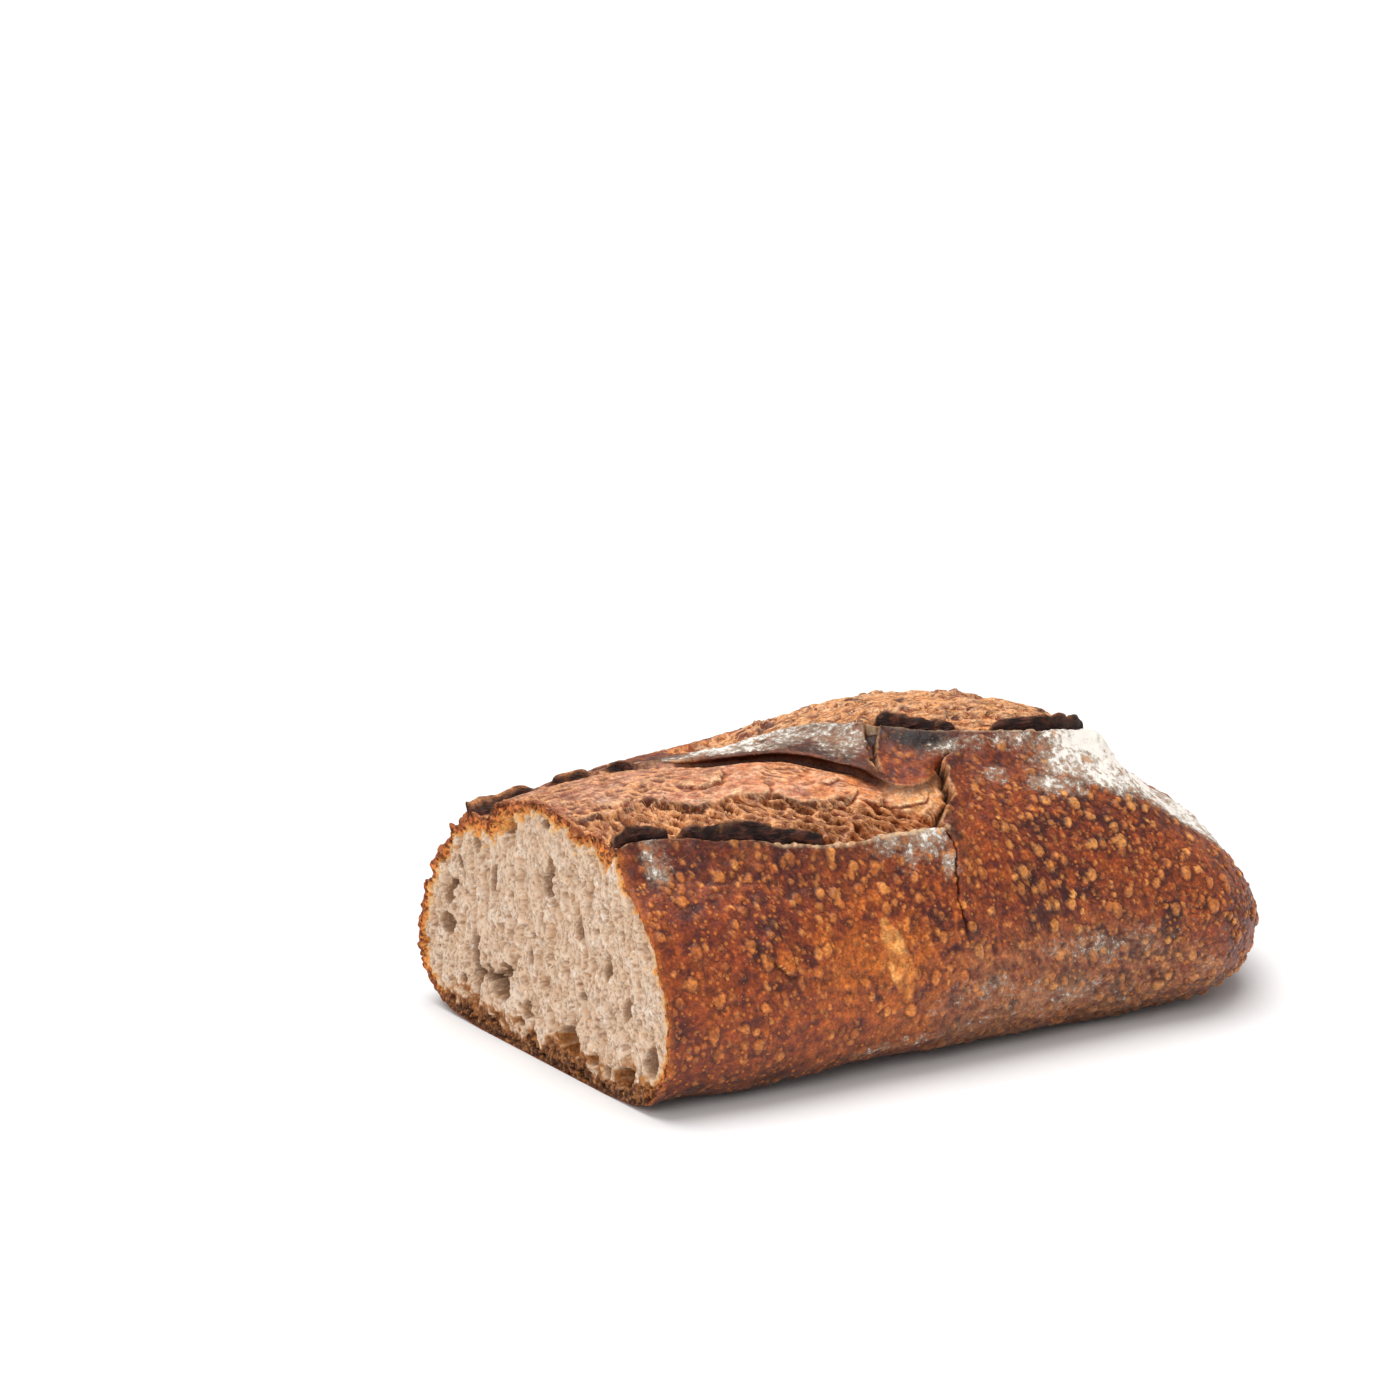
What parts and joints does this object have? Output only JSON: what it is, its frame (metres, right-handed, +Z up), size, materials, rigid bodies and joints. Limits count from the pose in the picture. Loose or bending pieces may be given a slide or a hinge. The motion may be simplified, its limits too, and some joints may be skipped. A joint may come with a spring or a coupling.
{
  "type": "sourdough loaf",
  "caption": "Long crusty sourdough loaf with burst scores along its crown and one end sliced off to show the crumb.",
  "frame": {"origin": "on the surface the loaf rests on, under the middle of its box", "axes": "+X along the loaf from the cut face to the far tip, +Y across it away from the side with the low front lip, +Z up"},
  "size_m": [0.2571, 0.1456, 0.0994],
  "materials": {
    "crust": "baked bread: mottled mahogany to amber crust with small blisters and patches of flour, charred lips at the scores, pale open crumb on the cut face"
  },
  "bodies": {
    "root": {"loaf": "crust"}
  },
  "joints": []
}
